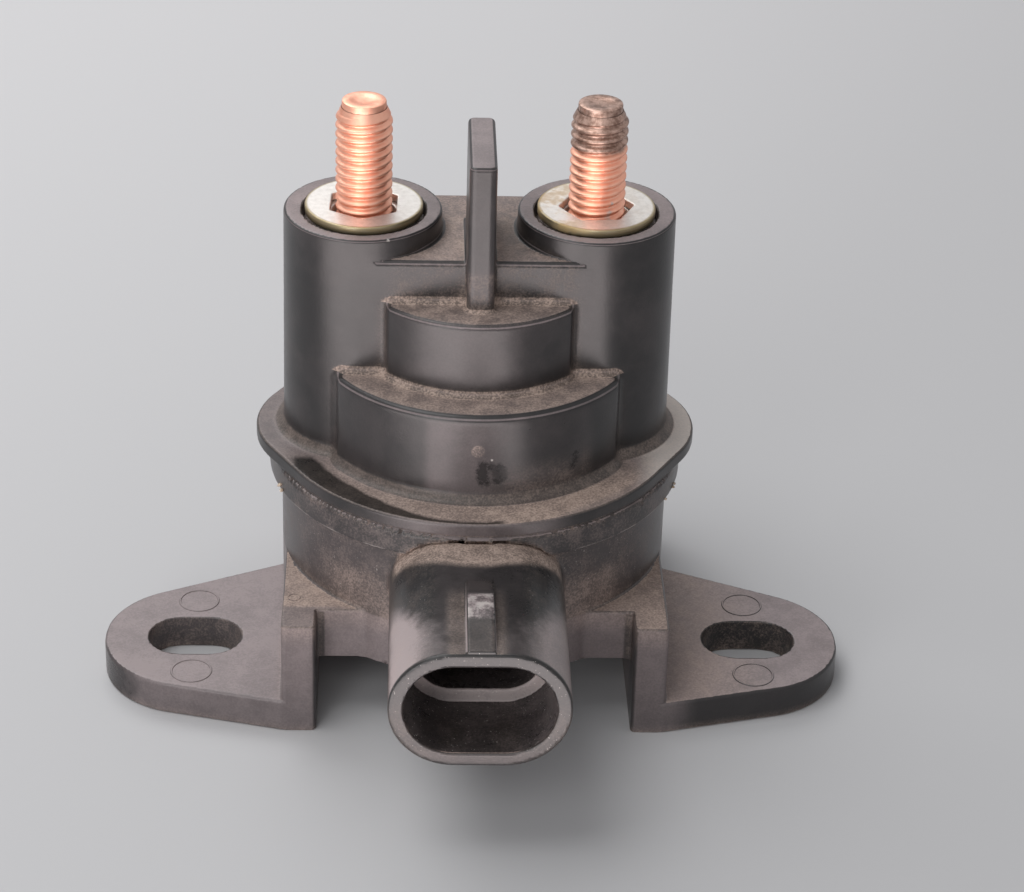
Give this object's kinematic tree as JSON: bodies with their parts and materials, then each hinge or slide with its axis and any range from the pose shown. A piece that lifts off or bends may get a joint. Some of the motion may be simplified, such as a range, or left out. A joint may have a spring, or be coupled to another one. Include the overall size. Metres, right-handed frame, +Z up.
{
  "type": "starter relay",
  "caption": "Sealed starter relay: moulded black case with slotted mounting ears, threaded terminal studs parted by a barrier fin, and a coil connector on the front.",
  "frame": {"origin": "on the mounting plane, midway between the two mounting slots", "axes": "+Z up along the terminal studs, X through the two mounting slots, -Y the way the coil connector faces"},
  "size_m": [0.0794, 0.0641, 0.0633],
  "materials": {
    "base_plastic": "satin moulded black, dusty",
    "cap_plastic": "satin moulded black, dusty",
    "seal_rubber": "matt",
    "copper": "bare rolled copper, partly oxidised",
    "tinned_steel": "bright tin, light rust spots",
    "magnet_steel": "zinc plated",
    "rod_steel": "ground",
    "spring_steel": "drawn wire",
    "bobbin_plastic": "moulded, natural",
    "enamelled_wire": "enamelled copper wire, wound",
    "blade_brass": "tinned brass"
  },
  "bodies": {
    "housing": {"housing_base": "base_plastic", "terminal_cap": "cap_plastic", "cap_seal": "seal_rubber", "stud_left": "copper", "stud_right": "copper", "washer_left": "tinned_steel", "washer_right": "tinned_steel", "disc_left": "tinned_steel", "disc_right": "tinned_steel", "stud_seal_left": "seal_rubber", "stud_seal_right": "seal_rubber", "yoke_can": "magnet_steel", "pole_plate": "magnet_steel", "fixed_core": "magnet_steel", "coil_bobbin": "bobbin_plastic", "coil_winding": "enamelled_wire", "return_spring": "spring_steel", "blade_terminal_left": "blade_brass", "blade_terminal_right": "blade_brass", "coil_lead_left": "enamelled_wire", "coil_lead_right": "enamelled_wire"},
    "armature": {"plunger": "magnet_steel", "plunger_rod": "rod_steel", "retaining_clip": "spring_steel", "contact_spring": "spring_steel"},
    "bridge": {"contact_bridge": "copper", "bridge_bush_lower": "bobbin_plastic", "bridge_bush_upper": "bobbin_plastic"}
  },
  "joints": [
    {"name": "plunger_slide", "type": "slide", "parent": "housing", "child": "armature", "axis": [0, 0, 1], "range_m": [0, 0.0024], "stiffness_N_per_m": 400, "springref_m": -0.004, "deforming": ["return_spring"]},
    {"name": "bridge_slide", "type": "slide", "parent": "armature", "child": "bridge", "axis": [0, 0, -1], "range_m": [0, 0.0007], "stiffness_N_per_m": 300, "springref_m": -0.003, "deforming": ["contact_spring"]}
  ],
  "couplings": [
    {"joint": "bridge_slide", "follows": "plunger_slide", "ratio": 0.29167}
  ]
}
